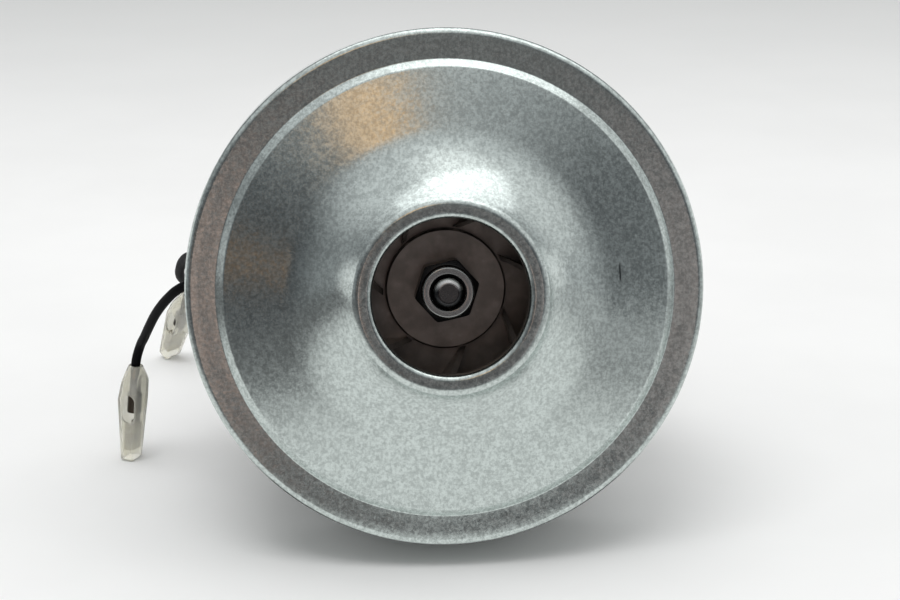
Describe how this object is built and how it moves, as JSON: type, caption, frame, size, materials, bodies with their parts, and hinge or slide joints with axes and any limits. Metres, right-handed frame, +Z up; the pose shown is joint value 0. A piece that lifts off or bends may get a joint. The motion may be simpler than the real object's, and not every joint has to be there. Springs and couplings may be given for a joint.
{
  "type": "spa air blower motor",
  "caption": "Bare through-flow blower unit: drawn steel fan case with a rolled inlet eye, swept-blade impeller on a brushed motor, and black leads with sleeved terminals.",
  "frame": {"origin": "On the floor that the unit lies on, under the middle of its box without the leads.", "axes": "+X to the right of a viewer at the inlet, +Y away from the viewer to the motor's rear, +Z up. The motor axis lies in the YZ plane and its inlet end tips up by 12.28 degrees."},
  "size_m": [0.1392, 0.1602, 0.1209],
  "materials": {
    "galvanised_steel": "zinc-coated sheet with a soft spangle",
    "dark_steel": "dark brown-black, satin",
    "plated_steel": "bright zinc plate",
    "black_nylon": "moulded, matt black",
    "cast_aluminium": "die cast, as cast",
    "core_steel": "varnished stack of laminations",
    "enamelled_copper": "varnished winding",
    "bare_copper": "turned bare metal",
    "liner_film": "cream insulating film",
    "brown_phenolic": "moulded, satin brown",
    "sheet_brass": "stamped sheet",
    "carbon": "pressed carbon",
    "bearing_steel": "ground steel",
    "cage_brass": "stamped ribbon",
    "black_rubber": "moulded black rubber",
    "lead_insulation": "satin black insulation",
    "clear_sleeve": "translucent yellowish white"
  },
  "bodies": {
    "housing": {"fan_case": "galvanised_steel", "motor_can": "galvanised_steel", "diffuser_screws": "plated_steel", "bracket_screws": "plated_steel", "brush_holder_screws": "plated_steel", "preload_washer": "plated_steel", "brush_spring_left": "plated_steel", "brush_spring_right": "plated_steel", "diffuser": "black_nylon", "brush_cap_left": "black_nylon", "brush_cap_right": "black_nylon", "front_bracket": "cast_aluminium", "field_core": "core_steel", "field_coil_upper": "enamelled_copper", "field_coil_lower": "enamelled_copper", "slot_liners": "liner_film", "brush_holder_left": "brown_phenolic", "brush_holder_right": "brown_phenolic", "brush_guide_left": "sheet_brass", "brush_guide_right": "sheet_brass", "receptacle_1": "sheet_brass", "receptacle_2": "sheet_brass", "lead_grommet": "black_rubber", "lead_1": "lead_insulation", "lead_2": "lead_insulation", "terminal_sleeve_1": "clear_sleeve", "terminal_sleeve_2": "clear_sleeve", "front_bearing_outer": "bearing_steel", "front_bearing_shields": "bearing_steel", "rear_bearing_outer": "bearing_steel", "rear_bearing_shields": "bearing_steel"},
    "rotor": {"impeller_front_plate": "dark_steel", "impeller_back_plate": "dark_steel", "impeller_blades": "dark_steel", "hub_washer": "dark_steel", "rear_hub_washer": "dark_steel", "hub_spacer": "plated_steel", "impeller_nut": "plated_steel", "nut_insert": "black_nylon", "armature_shaft": "plated_steel", "armature_core": "core_steel", "armature_winding": "enamelled_copper", "commutator_bars": "bare_copper", "commutator_hub": "black_nylon", "front_bearing_inner": "bearing_steel", "rear_bearing_inner": "bearing_steel"},
    "front_ball_set": {"front_bearing_balls": "bearing_steel", "front_bearing_cage": "cage_brass"},
    "rear_ball_set": {"rear_bearing_balls": "bearing_steel", "rear_bearing_cage": "cage_brass"},
    "brush_body_left": {"brush_left": "carbon"},
    "brush_body_right": {"brush_right": "carbon"}
  },
  "joints": [
    {"name": "rotor_spin", "type": "hinge", "parent": "housing", "child": "rotor", "pos_m": [0, -0.04146, 0.06361], "axis": [0, -0.9771, 0.2127], "continuous": true},
    {"name": "front_cage_spin", "type": "hinge", "parent": "housing", "child": "front_ball_set", "pos_m": [0, -0.04146, 0.06361], "axis": [0, -0.9771, 0.2127], "continuous": true},
    {"name": "rear_cage_spin", "type": "hinge", "parent": "housing", "child": "rear_ball_set", "pos_m": [0, -0.04146, 0.06361], "axis": [0, -0.9771, 0.2127], "continuous": true},
    {"name": "brush_slide_left", "type": "slide", "parent": "housing", "child": "brush_body_left", "axis": [-1, 0, 0], "range_m": [0, 0.004], "stiffness_N_per_m": 300, "springref_m": -0.012, "deforming": ["brush_spring_left"]},
    {"name": "brush_slide_right", "type": "slide", "parent": "housing", "child": "brush_body_right", "axis": [1, 0, 0], "range_m": [0, 0.004], "stiffness_N_per_m": 300, "springref_m": -0.012, "deforming": ["brush_spring_right"]}
  ],
  "couplings": [
    {"joint": "front_cage_spin", "follows": "rotor_spin", "ratio": 0.3679},
    {"joint": "rear_cage_spin", "follows": "rotor_spin", "ratio": 0.3679}
  ]
}
